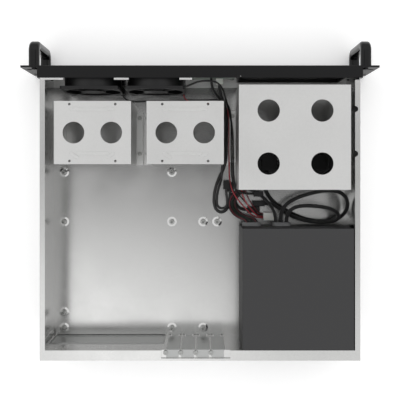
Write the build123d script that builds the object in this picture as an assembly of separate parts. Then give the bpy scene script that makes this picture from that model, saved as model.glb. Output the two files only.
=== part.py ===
from build123d import *
from math import radians, tan
import os

# Short rackmount computer case, two units high, with its top cover off. Millimetres.
# The front looks towards -Y, +Z is up, and the origin is under the middle of the whole part.

# Overall
rack_width = 482.6
panel_height = 88.0
tray_width = 430.0
tray_height = 87.0
case_depth = 396.0
handle_reach = 35.0
sheet = 1.0
seat_gap = 0.1
hole_gap = 0.1

# Tray, its rims and the raised mainboard seats
rim_reach = 7.0
rim_notch_radius = 4.1
rim_notch_places = (-122.0, -62.0)
side_hole_radius = 2.0
side_hole_height = 48.0
side_hole_places = (87.7, 167.0)
bump_radius = 7.0
bump_top_radius = 4.4
bump_rise = 1.0
board_corner_x = 198.6
board_corner_y = 189.6
board_columns = (0.0, 157.48, 203.2, 223.52)
board_rows = (0.0, 22.86, 154.94, 227.33)
board_seats = ((0, 0), (0, 1), (0, 2), (0, 3), (1, 0), (1, 2), (1, 3), (2, 0), (2, 2), (3, 2))
standoff_flats = 5.0
standoff_height = 8.0
standoff_thread_radius = 1.5
standoff_thread_depth = 5.0
standoff_stud_radius = 2.2
standoff_stud = 1.6

# Front wall and the black panel over it
wall_setback = 4.9
front_flange = 13.3
narrow_flange = 9.0
narrow_flange_start_x = 10.7
panel_thickness = 1.5
panel_top_depth = 16.5
panel_seam_x = -54.5
panel_notch = 1.6
panel_notch_depth = 2.5
vent_slot_width = 3.2
vent_slot_height = 60.0
vent_slot_pitch = 6.2
vent_slot_count = 11

# Rack ears and pull handles
ear_thickness = 2.5
ear_height = 87.0
rack_hole_spacing_x = 465.1
rack_hole_spacing_z = 44.45
rack_hole_radius = 3.4
rack_hole_travel = 4.0
handle_centre_x = 224.0
handle_width = 14.3
handle_grip = 11.0
handle_height = 82.0
handle_bend = 14.0
handle_rounding = 4.2
handle_screw_radius = 2.0
ear_screw_radius = 1.9

# Fans
fan_size = 80.0
fan_depth = 25.0
fan_duct_radius = 38.0
fan_flange = 4.0
fan_hole_spacing = 71.5
fan_hole_radius = 2.2
fan_screw_radius = 2.1
fan_corner_radius = 4.0
fan_duct_wall = 1.6
fan_notch_margin = 7.0
fan_hub_radius = 17.5
fan_hub_wall = 2.0
fan_blade_count = 7
fan_blade_thickness = 1.6
fan_tip_gap = 0.8
fan_shaft_radius = 1.5
fan_running_gap = 0.05
fan_centre_z = 43.5
fan_centres_x = (149.5, 61.6)

# Drive cages
cage_width = 104.5
cage_length = 85.0
cage_top = 84.0
cage_front_y = -133.1
cage_centres_x = (144.85, 19.95)
cage_hole_radius = 14.65
cage_hole_offset = 25.4
drive_hole_x = 61.72
drive_hole_y = 76.6
drive_hole_radius = 1.8
rib_width = 4.6
rib_height = 1.3
rib_rounding = 0.75
rib_half_length = 20.4
rib_insets = (11.4, 14.6)
foot_width = 9.0
foot_screw_radius = 1.4
cage_foot_start = 8.5
cage_foot_screws = (16.5, 68.5)
side_slot_length = 9.0
side_slot_height = 3.6
side_slot_levels = (14.0, 46.0)
side_slot_spacing = 44.0

# Large drive bay
bay_width = 151.4
bay_length = 141.4
bay_top = 85.0
bay_front_y = -155.0
bay_centre_x = -127.8
bay_hole_radius = 15.0
bay_hole_x = 72.1
bay_hole_y = 71.3
bay_hole_shift_x = -0.55
bay_foot_span = (28.0, 103.0)
bay_foot_screws = (35.2, 96.2)
bay_opening_width = 149.0
bay_opening_low = 2.4
bay_opening_height = 83.2
bay_cover_gap = 0.2
bay_cover_depth = 12.0
bay_cover_wall = 2.0

# Buttons, lamps and ports in the front panel
control_x = -17.0
power_button_x = 0.0
power_button_z = 62.0
power_button_radius = 5.8
reset_button_x = -20.0
reset_button_radius = 2.3
button_proud = 1.6
button_travel = 0.8
button_collar = 1.2
lamp_x = -36.0
lamp_radius = 1.5
lamp_spacing = 8.0
port_spacing = 25.0
port_z = 30.0
port_width = 13.2
port_height = 5.8
port_wall = 0.4
board_width = 64.0
board_height = 60.0
board_centre_z = 46.0
board_thickness = 1.6
board_spacer = 2.0
board_margin = 6.0
board_screw_inset = 3.0
board_screw_radius = 1.4
switch_depth = 3.6

# Back wall
rear_flange = 13.7
port_plate_width = 158.75
port_plate_height = 44.45
port_plate_right_x = 51.3
port_plate_low = 4.5
slot_pitch = 20.32
slot_first_x = 36.3
slot_count = 4
slot_opening = 12.0
slot_low = 3.4
slot_cover_width = 18.42
slot_cover_thickness = 0.8
slot_cover_low = 8.0
slot_screw_shift = 9.9
ledge_drop = 3.0
ledge_reach = 10.7
ledge_side = 6.0
ledge_cut = 3.5
screw_line = 3.5
vent_radius = 1.6
vent_pitch = 9.6
vent_columns = 16
vent_rows = 2
vent_top_z = 76.8

# Knock-outs in the port plate: start from its left end, width, height above its foot, height
knock_outs = (
    (24.0, 15.0, 4.0, 16.0),
    (44.0, 31.0, 4.0, 10.5),
    (79.0, 17.0, 4.0, 14.5),
    (79.0, 17.0, 21.0, 14.5),
    (101.0, 17.0, 4.0, 14.5),
    (101.0, 17.0, 21.0, 14.5),
)
knock_out_depth = 0.25
port_plate_thickness = 0.5
port_plate_lip = 1.4
port_plate_rim = 1.5

# Power supply
supply_width = 150.0
supply_height = 85.5
supply_depth = 163.0
supply_right_x = -57.0
supply_sheet = 1.0
supply_screw_radius = 1.7
supply_fan_x = -107.0
eyelet_thickness = 1.6
inlet_x = -178.0
inlet_z = 60.0
inlet_width = 27.0
inlet_height = 20.0
rocker_z = 27.0
rocker_width = 13.0
rocker_height = 19.0
rocker_pin_radius = 1.2
rocker_pivot_depth = 3.0
rocker_swing = 16.0
grommet_places_x = (-116.0, -73.0)
grommet_z = 30.0
supply_vent_x = -128.0
supply_vent_count = 5
supply_vent_low = 56.0
supply_vent_pitch = 5.2
supply_vent_length = 90.0
supply_vent_width = 2.6
grommet_length = 26.0
grommet_height = 13.0
grommet_proud = 5.0

# Worked out from the sizes above
half_tray = tray_width / 2
front_y = handle_reach - (case_depth + handle_reach) / 2
flange_end_y = front_y + case_depth
back_inner_y = flange_end_y - rear_flange
back_outer_y = back_inner_y + sheet
wall_y = front_y + wall_setback
wall_back_y = wall_y + sheet
flange_y = wall_back_y + front_flange
panel_back_y = front_y + panel_thickness
rim_z = tray_height - sheet
ledge_z = tray_height - ledge_drop
seat_z = sheet + bump_rise
supply_left_x = supply_right_x - supply_width
supply_back_y = back_inner_y - seat_gap
supply_front_y = supply_back_y - supply_depth
supply_low = sheet
supply_top = supply_low + supply_height
supply_fan_z = supply_low + supply_height / 2
slot_centres_x = [slot_first_x - slot_pitch * i for i in range(slot_count)]


def block(x, y, z):
    """A box from its low and high value on each axis, in either order."""
    size = [abs(b - a) for a, b in (x, y, z)]
    middle = [(a + b) / 2 for a, b in (x, y, z)]
    return Pos(*middle) * Box(*size)


def bar_x(y, z, radius, x):
    return Pos((x[0] + x[1]) / 2, y, z) * Rot(0, 90, 0) * Cylinder(radius, abs(x[1] - x[0]))


def bar_y(x, z, radius, y):
    return Pos(x, (y[0] + y[1]) / 2, z) * Rot(90, 0, 0) * Cylinder(radius, abs(y[1] - y[0]))


def bar_z(x, y, radius, z):
    return Pos(x, y, (z[0] + z[1]) / 2) * Cylinder(radius, abs(z[1] - z[0]))


def slot_y(x, z, length, height, y, upright=False):
    """A round-ended hole through a wall that faces Y."""
    turn = 90 if upright else 0
    face = Rot(90, 0, 0) * Rot(0, 0, turn) * SlotOverall(length, height)
    return Pos(x, max(y), z) * extrude(face, abs(y[1] - y[0]), dir=(0, -1, 0))


def screw(head_radius, head_height, shank_radius, shank_length):
    """A pan-head screw with a cross recess. Its head sits on Z = 0 and its shank points down."""
    head = bar_z(0, 0, head_radius, (0, head_height))
    head = fillet(head.edges().group_by(Axis.Z)[-1], head_height * 0.45)
    arm, width, depth = head_radius * 0.55, head_radius * 0.22, head_height * 0.6
    head -= block((-arm, arm), (-width / 2, width / 2), (head_height - depth, head_height))
    head -= block((-width / 2, width / 2), (-arm, arm), (head_height - depth, head_height))
    return head + bar_z(0, 0, shank_radius, (-shank_length, 0))


def group(pieces):
    """Separate solids that share one file."""
    return Compound(children=[solid for piece in pieces for solid in piece.solids()])


def base_tray():
    """Floor and side walls folded from one sheet, rims turned in, and hollow raised seats."""
    tray = block((-half_tray, half_tray), (wall_y, back_inner_y), (0, sheet))
    for side in (-1, 1):
        outer, inner = side * half_tray, side * (half_tray - sheet)
        tray += block((outer, inner), (wall_y, back_inner_y), (0, tray_height))
        rim = (outer, side * (half_tray - rim_reach))
        tray += block(rim, (flange_y + seat_gap, back_inner_y), (rim_z, tray_height))
    folds = tray.edges().filter_by(Axis.Y).filter_by(lambda e: e.center().Z < 0.01)
    tray = fillet(folds.filter_by(lambda e: abs(e.center().X) > half_tray - 0.01), sheet * 0.9)
    for y in rim_notch_places:
        notch_x = -(half_tray - rim_reach)
        tray -= bar_z(notch_x, y, rim_notch_radius, (rim_z - sheet, tray_height + sheet))
    for y in side_hole_places:
        for side in (-1, 1):
            across = (side * (half_tray - 2 * sheet), side * (half_tray + sheet))
            tray -= bar_x(y, side_hole_height, side_hole_radius, across)
    for x, y in seat_places():
        outside = Cone(bump_radius, bump_top_radius, bump_rise)
        inside = Cone(bump_radius - sheet, bump_top_radius - sheet, bump_rise + sheet / 4)
        tray += Pos(x, y, sheet + bump_rise / 2) * outside
        tray -= Pos(x, y, (bump_rise + sheet / 4) / 2 - sheet / 10) * inside
        tray -= bar_z(x, y, standoff_stud_radius + hole_gap, (0, seat_z + sheet))
    for x, y in foot_screw_places():
        tray -= bar_z(x, y, foot_screw_radius + hole_gap, (-sheet, 2 * sheet))
    for y, z in ear_screw_places():
        tray -= bar_x(y, z, ear_screw_radius + hole_gap, (-rack_width / 2, rack_width / 2))
    return tray


def seat_places():
    return [
        (board_corner_x - board_columns[c], board_corner_y - board_rows[r]) for c, r in board_seats
    ]


def standoffs():
    """Hexagonal brass posts, each with a threaded hole on top and a stud below."""
    posts = []
    for x, y in seat_places():
        hexagon = RegularPolygon(standoff_flats / 2, 6, major_radius=False)
        post = Pos(x, y, seat_z) * extrude(hexagon, standoff_height)
        top = seat_z + standoff_height
        post -= bar_z(x, y, standoff_thread_radius, (top - standoff_thread_depth, top))
        posts.append(post + bar_z(x, y, standoff_stud_radius, (seat_z - standoff_stud, seat_z)))
    return group(posts)


def front_wall():
    """Upright channel across the front: openings for fans, bay and controls, flanges to the rear."""
    inner = half_tray - sheet
    wall = block((-inner, inner), (wall_y, wall_back_y), (sheet, tray_height))
    top = block((-inner, inner), (wall_back_y, flange_y), (rim_z, tray_height))
    narrow = (wall_back_y + narrow_flange, flange_y)
    top -= block((-inner, narrow_flange_start_x), narrow, (rim_z, tray_height))
    low = block((-inner, inner), (wall_back_y, flange_y), (sheet, 2 * sheet))
    wall += top + low
    for x in fan_centres_x:
        reach = fan_size / 2 + 1
        wall -= block((x - reach, x + reach), (wall_back_y, flange_y), (0, 2 * sheet))
        notch = reach - fan_notch_margin
        wall -= block((x - notch, x + notch), (wall_back_y + 4, flange_y), (rim_z, tray_height))
        wall -= bar_y(x, fan_centre_z, fan_duct_radius, (wall_y, wall_back_y))
        for hx, hz in fan_corners(x, fan_centre_z):
            wall -= bar_y(hx, hz, fan_screw_radius + hole_gap, (wall_y, wall_back_y))
    bay = bay_opening_width / 2 + 1
    across = (bay_centre_x - bay, bay_centre_x + bay)
    wall -= block(across, (wall_y, flange_y), (2 * sheet, bay_opening_low + bay_opening_height))
    window_x = board_width / 2 - board_margin
    window_z = board_height / 2 - board_margin
    span_x = (control_x - window_x, control_x + window_x)
    span_z = (board_centre_z - window_z, board_centre_z + window_z)
    wall -= block(span_x, (wall_y, wall_back_y), span_z)
    for x, z in board_screw_places():
        wall -= bar_y(x, z, board_screw_radius + hole_gap, (wall_y, wall_back_y))
    return wall


def fan_corners(x, z):
    half = fan_hole_spacing / 2
    return [(x + sx * half, z + sz * half) for sx in (-1, 1) for sz in (-1, 1)]


def front_panel():
    """Black box over the front wall: face, top flange and side flanges, all of one sheet."""
    side_x = half_tray + sheet
    back = front_y + panel_top_depth
    panel = block((-side_x, side_x), (front_y, panel_back_y), (0, panel_height))
    panel += block((-side_x, side_x), (front_y, back), (tray_height, panel_height))
    panel += block((-side_x, side_x), (front_y, wall_y - seat_gap), (0, sheet))
    for side in (-1, 1):
        panel += block((side * half_tray, side * side_x), (front_y, back), (0, panel_height))
    top = panel.edges().filter_by(Axis.X).filter_by(lambda e: e.center().Y < front_y + 0.01)
    panel = fillet(top.group_by(Axis.Z)[-1], sheet * 0.9)
    notch = (panel_seam_x - panel_notch / 2, panel_seam_x + panel_notch / 2)
    panel -= block(notch, (back - panel_notch_depth, back), (tray_height, panel_height))
    across = (bay_centre_x - bay_opening_width / 2, bay_centre_x + bay_opening_width / 2)
    up = (bay_opening_low, bay_opening_low + bay_opening_height)
    panel -= block(across, (front_y - 1, panel_back_y), up)
    through = (front_y - 1, panel_back_y + 1)
    for x in fan_centres_x:
        for i in range(vent_slot_count):
            slot_x = x + (i - (vent_slot_count - 1) / 2) * vent_slot_pitch
            panel -= slot_y(
                slot_x, fan_centre_z, vent_slot_height, vent_slot_width, through, upright=True
            )
    panel -= bar_y(power_button_x, power_button_z, power_button_radius + hole_gap, through)
    panel -= bar_y(reset_button_x, power_button_z, reset_button_radius + hole_gap, through)
    for x, z in lamp_places():
        panel -= bar_y(x, z, lamp_radius + hole_gap, through)
    for x in port_places():
        half = port_width / 2 + 2 * hole_gap
        high = port_height / 2 + 2 * hole_gap
        panel -= block((x - half, x + half), through, (port_z - high, port_z + high))
    for x, z in ear_screw_places():
        panel -= bar_x(x, z, ear_screw_radius + hole_gap, (-side_x - 1, -half_tray + 1))
        panel -= bar_x(x, z, ear_screw_radius + hole_gap, (half_tray - 1, side_x + 1))
    return panel


def lamp_places():
    return [(lamp_x, power_button_z + s * lamp_spacing / 2) for s in (-1, 1)]


def port_places():
    return [control_x + s * port_spacing / 2 for s in (-1, 1)]


def ear_screw_places():
    """Depth and height of the screws that hold an ear to the side of the panel."""
    middle = front_y + (panel_top_depth + ear_thickness) / 2
    return [(middle, panel_height / 2 + s * 30) for s in (-1, 1)]


def ear_reach():
    """Distance from the middle to the outer face of an ear's leg."""
    return half_tray + sheet + ear_thickness


def handle_screw_heights():
    half = (handle_height - handle_grip) / 2
    return [panel_height / 2 + s * half for s in (-1, 1)]


def rack_ear(side):
    """Angle bracket: a slotted face plate, and a leg along the side of the panel."""
    low, high = (panel_height - ear_height) / 2, (panel_height + ear_height) / 2
    inner = side * (half_tray + sheet)
    plate = block((inner, side * rack_width / 2), (front_y, front_y + ear_thickness), (low, high))
    plate = fillet(
        plate.edges().filter_by(Axis.Y).filter_by(lambda e: abs(e.center().X) > ear_reach()), 2
    )
    ear = plate + block((inner, side * ear_reach()), (front_y, front_y + panel_top_depth), (low, high))
    through = (front_y - 1, front_y + ear_thickness + 1)
    for s in (-1, 1):
        z = panel_height / 2 + s * rack_hole_spacing_z / 2
        length = 2 * rack_hole_radius + rack_hole_travel
        ear -= slot_y(side * rack_hole_spacing_x / 2, z, length, 2 * rack_hole_radius, through)
    for z in handle_screw_heights():
        ear -= bar_y(side * handle_centre_x, z, handle_screw_radius + hole_gap, through)
    for y, z in ear_screw_places():
        across = (side * half_tray, side * (ear_reach() + 1))
        ear -= bar_x(y, z, ear_screw_radius + hole_gap, across)
    return ear


def ear_screws():
    """Four screws through each ear's leg, the panel's side and the tray's wall."""
    pieces = []
    for side in (-1, 1):
        for y, z in ear_screw_places():
            piece = screw(3.4, 1.8, ear_screw_radius, ear_reach() - half_tray + 2 * sheet)
            pieces.append(Pos(side * ear_reach(), y, z) * Rot(0, side * 90, 0) * piece)
    return group(pieces)


def handle(side):
    """Pull handle bent from one bar, with an oval section and two threaded feet."""
    x = (side * handle_centre_x - handle_width / 2, side * handle_centre_x + handle_width / 2)
    middle = panel_height / 2
    tip_y = front_y - handle_reach
    outside = block(x, (tip_y, front_y), (middle - handle_height / 2, middle + handle_height / 2))
    bends = outside.edges().filter_by(Axis.X).group_by(Axis.Y)[0]
    outside = fillet(bends, handle_bend)
    gap = handle_height / 2 - handle_grip
    inside = block(x, (tip_y + handle_grip, front_y + 1), (middle - gap, middle + gap))
    inside = fillet(inside.edges().filter_by(Axis.X).group_by(Axis.Y)[0], handle_bend - handle_grip + 3)
    bar = outside - inside
    long_edges = [
        e for e in bar.edges() if abs(abs(e.center().X - side * handle_centre_x) - handle_width / 2) < 0.01
        and e.center().Y < front_y - 0.01
    ]
    bar = fillet(long_edges, handle_rounding)
    for z in handle_screw_heights():
        bar -= bar_y(side * handle_centre_x, z, handle_screw_radius, (front_y - 10, front_y))
    return bar


def handle_screws():
    pieces = []
    for side in (-1, 1):
        for z in handle_screw_heights():
            piece = screw(3.6, 2.4, handle_screw_radius, ear_thickness + 9)
            place = Pos(side * handle_centre_x, front_y + ear_thickness, z)
            pieces.append(place * Rot(-90, 0, 0) * piece)
    return group(pieces)


def fan_frame():
    """Square frame with a round duct, four struts at the back and the bearing tube. Axis along Y."""
    half = fan_size / 2
    strut_depth = 3.0
    frame = bar_y(0, 0, fan_duct_radius + fan_duct_wall, (0, fan_depth))
    for y in ((0, fan_flange), (fan_depth - fan_flange, fan_depth)):
        plate = block((-half, half), y, (-half, half))
        frame += fillet(plate.edges().filter_by(Axis.Y), fan_corner_radius)
    frame -= bar_y(0, 0, fan_duct_radius, (-1, fan_depth + 1))
    strut = (fan_depth - strut_depth, fan_depth)
    for turn in (45, 135, 225, 315):
        arm = block((fan_hub_radius - 1, fan_duct_radius + 0.8), strut, (-1.6, 1.6))
        frame += Rot(0, turn, 0) * arm
    frame += bar_y(0, 0, fan_hub_radius, strut)
    frame += bar_y(0, 0, 3 * fan_shaft_radius, (5, fan_depth - strut_depth))
    frame -= bar_y(0, 0, fan_shaft_radius + fan_running_gap, (4, fan_depth - 2))
    for x, z in fan_corners(0, 0):
        frame -= bar_y(x, z, fan_hole_radius, (-1, fan_depth + 1))
    return frame


def fan_blade():
    """One twisted blade, steep at the hub and flatter at the tip."""
    sections = []
    for radius, chord, pitch in ((fan_hub_radius - 1, 15.0, 48.0), (fan_duct_radius, 21.0, 28.0)):
        plane = Plane(origin=(radius, 11, 0), x_dir=(0, 0, 1), z_dir=(1, 0, 0))
        sections.append(plane * Rot(0, 0, pitch) * Rectangle(chord, fan_blade_thickness))
    return loft(sections)


def fan_rotor():
    """Hub cup with its blades and shaft, turning about Y in the frame's bearing tube."""
    cup_back = fan_depth - 4
    hub = bar_y(0, 0, fan_hub_radius, (1, cup_back))
    hub = fillet(hub.edges().group_by(Axis.Y)[0], 1.2)
    hub -= bar_y(0, 0, fan_hub_radius - fan_hub_wall, (3, cup_back))
    tip = bar_y(0, 0, fan_duct_radius - fan_tip_gap, (0, fan_depth))
    core = bar_y(0, 0, fan_hub_radius - fan_hub_wall / 2, (0, fan_depth))
    rotor = hub + bar_y(0, 0, fan_shaft_radius, (3, fan_depth - 2.5))
    for i in range(fan_blade_count):
        blade = Rot(0, 360 * i / fan_blade_count, 0) * fan_blade()
        rotor += (blade & tip) - core
    return rotor


def fan_screws():
    """Screws into each fan's corners, from the front wall and from the power supply's back."""
    pieces = []
    piece = screw(3.6, 2.0, fan_screw_radius, sheet + 2 * fan_flange)
    for x in fan_centres_x:
        for hx, hz in fan_corners(x, fan_centre_z):
            pieces.append(Pos(hx, wall_y, hz) * Rot(90, 0, 0) * piece)
    for hx, hz in fan_corners(supply_fan_x, supply_fan_z):
        pieces.append(Pos(hx, supply_back_y + eyelet_thickness, hz) * Rot(-90, 0, 0) * piece)
    return group(pieces)


def folded_cage(width, length, top, foot_span):
    """A sheet bridge: top plate, two sides and two outward feet. It starts at Y = 0."""
    half = width / 2
    cage = block((-half, half), (0, length), (top - sheet, top))
    for side in (-1, 1):
        outer, inner = side * half, side * (half - sheet)
        cage += block((outer, inner), (0, length), (2 * sheet, top))
        cage += block((outer, inner), foot_span, (sheet, 2 * sheet))
        cage += block((inner, side * (half + foot_width)), foot_span, (sheet, 2 * sheet))
    bends = cage.edges().filter_by(Axis.Y).group_by(Axis.Z)[-1]
    return fillet(bends, 1.2 * sheet)


def side_slots(cage, width, length, levels, spacing):
    for side in (-1, 1):
        for z in levels:
            for s in (-1, 1):
                face = Rot(0, 90, 0) * Rot(0, 0, 90) * SlotOverall(side_slot_length, side_slot_height)
                hole = Pos(-width, length / 2 + s * spacing / 2, z) * extrude(
                    face, 2 * width, dir=(1, 0, 0)
                )
                cage -= hole
    return cage


def rib_part(start, end):
    """One straight length of a rib, with round ends."""
    a, b = Vector(*start), Vector(*end)
    middle = (a + b) / 2
    turn = Vector(1, 0).get_signed_angle(b - a)
    shape = SlotCenterToCenter((b - a).length, rib_width)
    return Pos(middle.X, middle.Y, 0) * Rot(0, 0, turn) * extrude(shape, rib_height)


def pressed_rib(points):
    """A raised rib with a rounded top along some points of a plate."""
    parts = [rib_part(start, end) for start, end in zip(points, points[1:])]
    ridge = parts[0]
    for part in parts[1:]:
        ridge += part
    return fillet(ridge.edges().group_by(Axis.Z)[-1], rib_rounding)


def drive_cage(centre_x):
    """Cage for 3.5-inch drives, with two large holes, four drive holes and two pressed ribs."""
    cage = folded_cage(cage_width, cage_length, cage_top, (cage_foot_start, cage_length))
    middle = cage_length / 2
    for s, inset in zip((-1, 1), rib_insets):
        y = middle + s * (middle - inset)
        corner_x, corner_y = drive_hole_x / 2 - 2.5, middle + s * (drive_hole_y / 2 - 5)
        line = [(-corner_x, corner_y), (-rib_half_length, y), (rib_half_length, y), (corner_x, corner_y)]
        cage += Pos(0, 0, cage_top - sheet / 2) * pressed_rib(line)
        for t in (-1, 1):
            place = (t * drive_hole_x / 2, middle + s * drive_hole_y / 2)
            cage -= bar_z(*place, drive_hole_radius, (cage_top - 2 * sheet, cage_top + 2))
    for t in (-1, 1):
        cage -= bar_z(
            t * cage_hole_offset, middle, cage_hole_radius, (cage_top - 2 * sheet, cage_top + 2)
        )
    for x, y in foot_places(cage_width, cage_foot_screws):
        cage -= bar_z(x, y, foot_screw_radius + hole_gap, (0, 3 * sheet))
    cage = side_slots(cage, cage_width, cage_length, side_slot_levels, side_slot_spacing)
    return Pos(centre_x, cage_front_y, 0) * cage


def foot_places(width, screws):
    x = width / 2 + foot_width / 2
    return [(s * x, y) for s in (-1, 1) for y in screws]


def foot_screw_places():
    """Every cage screw in the floor, as seen from above."""
    places = []
    for centre in cage_centres_x:
        for x, y in foot_places(cage_width, cage_foot_screws):
            places.append((centre + x, cage_front_y + y))
    for x, y in foot_places(bay_width, bay_foot_screws):
        places.append((bay_centre_x + x, bay_front_y + y))
    return places


def foot_screws():
    pieces = []
    for x, y in foot_screw_places():
        piece = screw(2.9, 1.9, foot_screw_radius, 2 * sheet - hole_gap)
        pieces.append(Pos(x, y, 2 * sheet) * piece)
    return group(pieces)


def large_bay():
    """Cage for the 5.25-inch bay, open at the front and back, with four large holes on top."""
    cage = folded_cage(bay_width, bay_length, bay_top, bay_foot_span)
    middle = bay_length / 2 - 0.25
    for s in (-1, 1):
        for t in (-1, 1):
            x = bay_hole_shift_x + s * bay_hole_x / 2
            y = middle + t * bay_hole_y / 2
            cage -= bar_z(x, y, bay_hole_radius, (bay_top - 2 * sheet, bay_top + 1))
    for x, y in foot_places(bay_width, bay_foot_screws):
        cage -= bar_z(x, y, foot_screw_radius + hole_gap, (0, 3 * sheet))
    cage = side_slots(cage, bay_width, bay_length, (14.0, 55.0), 80.0)
    return Pos(bay_centre_x, bay_front_y, 0) * cage


def bay_cover(index):
    """Plastic blank for half of the front bay opening, hollow at the back. Index 0 is the lower."""
    height = bay_opening_height / 2
    low = bay_opening_low + index * height + bay_cover_gap
    high = bay_opening_low + (index + 1) * height - bay_cover_gap
    half = bay_opening_width / 2 - bay_cover_gap
    x = (bay_centre_x - half, bay_centre_x + half)
    cover = block(x, (front_y, front_y + bay_cover_depth), (low, high))
    face = cover.edges().filter_by(lambda e: e.center().Y < front_y + 0.01)
    cover = fillet(face, 0.6)
    wall = bay_cover_wall
    inside = (x[0] + wall, x[1] - wall)
    return cover - block(
        inside, (front_y + wall, front_y + bay_cover_depth), (low + wall, high - wall)
    )


def push_button(x, radius):
    """Button cap with a collar behind the panel and a short stem."""
    collar_y = panel_back_y + hole_gap
    stem_end = board_front_y() - switch_depth - button_travel - hole_gap
    cap = bar_y(x, power_button_z, radius, (front_y - button_proud, collar_y + button_collar))
    cap = fillet(cap.edges().group_by(Axis.Y)[0], 0.5)
    cap += bar_y(x, power_button_z, radius + 1.2, (collar_y, collar_y + button_collar))
    return cap + bar_y(x, power_button_z, 1.5, (collar_y + button_collar, stem_end))


def board_front_y():
    return wall_back_y + board_spacer


def button_switches():
    front = board_front_y()
    return group([
        block((x - 4, x + 4), (front - switch_depth, front), (power_button_z - 4, power_button_z + 4))
        for x in (power_button_x, reset_button_x)
    ])


def board_screw_places():
    half_x = board_width / 2 - board_screw_inset
    half_z = board_height / 2 - board_screw_inset
    return [
        (control_x + s * half_x, board_centre_z + t * half_z) for s in (-1, 1) for t in (-1, 1)
    ]


def front_board():
    """Small circuit board behind the front wall, for the buttons, lamps and ports."""
    half_x, half_z = board_width / 2, board_height / 2
    depth = (board_front_y(), board_front_y() + board_thickness)
    span_z = (board_centre_z - half_z, board_centre_z + half_z)
    board = block((control_x - half_x, control_x + half_x), depth, span_z)
    board = fillet(board.edges().filter_by(Axis.Y), 1.5)
    for x, z in board_screw_places():
        board -= bar_y(x, z, board_screw_radius + hole_gap, depth)
    return board


def board_spacers():
    pieces = []
    span = (wall_back_y, board_front_y())
    for x, z in board_screw_places():
        pieces.append(bar_y(x, z, 2.4, span) - bar_y(x, z, board_screw_radius + hole_gap, span))
    return group(pieces)


def board_screws():
    pieces = []
    for x, z in board_screw_places():
        piece = screw(2.5, 1.6, board_screw_radius, board_thickness + board_spacer + sheet)
        place = Pos(x, board_front_y() + board_thickness, z)
        pieces.append(place * Rot(-90, 0, 0) * piece)
    return group(pieces)


def indicator_lamps():
    pieces = []
    for x, z in lamp_places():
        lens = bar_y(x, z, lamp_radius, (front_y - 0.6, board_front_y()))
        pieces.append(fillet(lens.edges().group_by(Axis.Y)[0], 0.9))
    return group(pieces)


def port_shells():
    """Folded metal sleeves of the two front ports, open at the front."""
    pieces = []
    for x in port_places():
        half, high = port_width / 2, port_height / 2
        span = (front_y + 0.1, board_front_y())
        shell = block((x - half, x + half), span, (port_z - high, port_z + high))
        hollow = block(
            (x - half + port_wall, x + half - port_wall),
            (front_y, board_front_y() - port_wall),
            (port_z - high + port_wall, port_z + high - port_wall),
        )
        pieces.append(shell - hollow)
    return group(pieces)


def port_tongues():
    pieces = []
    for x in port_places():
        span = (front_y + 1.5, board_front_y() - port_wall)
        pieces.append(block((x - 5.5, x + 5.5), span, (port_z + 0.2, port_z + 2.0)))
    return group(pieces)


def ledge_span():
    """The card slots' recess in the back flange, across X."""
    return (
        slot_centres_x[-1] - slot_screw_shift - ledge_side,
        slot_centres_x[0] + slot_screw_shift + ledge_side,
    )


def rear_wall():
    """Back wall with an outward top flange, a sunk ledge for the card slots, and all openings."""
    wall = block((-half_tray, half_tray), (back_inner_y, back_outer_y), (0, tray_height))
    wall += block((-half_tray, half_tray), (back_inner_y, flange_end_y), (rim_z, tray_height))
    for side in (-1, 1):
        tab = (side * (half_tray - sheet), side * (half_tray - 2 * sheet))
        wall += block(tab, (back_inner_y - 10, back_inner_y), (8, tray_height - 8))
    low, high = ledge_span()
    step_y = back_inner_y + ledge_reach
    wall -= block((low, high), (back_inner_y, step_y), (ledge_z, tray_height))
    wall += block((low, high), (back_inner_y, step_y), (ledge_z - sheet, ledge_z))
    around = (ledge_z - sheet, tray_height)
    wall += block((low - sheet, high + sheet), (step_y, step_y + sheet), around)
    for x in ((low - sheet, low), (high, high + sheet)):
        wall += block(x, (back_outer_y, step_y), around)
    for x in slot_centres_x:
        half = slot_opening / 2
        wall -= block((x - half, x + half), (back_inner_y, back_inner_y + ledge_cut), (slot_low, ledge_z))
        hole = (x + slot_screw_shift, back_inner_y + screw_line)
        wall -= bar_z(*hole, foot_screw_radius + hole_gap, (ledge_z - 2 * sheet, ledge_z))
    across = (port_plate_right_x, port_plate_right_x + port_plate_width)
    up = (port_plate_low, port_plate_low + port_plate_height)
    wall -= block(across, (back_inner_y, back_outer_y), up)
    for i in range(vent_columns):
        for j in range(vent_rows):
            x = port_plate_right_x + vent_pitch + i * vent_pitch
            z = vent_top_z - j * vent_pitch
            wall -= bar_y(x, z, vent_radius, (back_inner_y, back_outer_y))
    half = fan_size / 2 + 0.6
    square = (supply_fan_x - half, supply_fan_x + half)
    up = (supply_fan_z - half, supply_fan_z + half)
    wall -= block(square, (back_inner_y, back_outer_y), up)
    wall -= block(
        (supply_left_x + 12, supply_fan_x), (back_inner_y, back_outer_y), (supply_low + 12, supply_top - 12)
    )
    for x, z in supply_screw_places():
        wall -= bar_y(x, z, supply_screw_radius + hole_gap, (back_inner_y, back_outer_y))
    return wall


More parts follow.
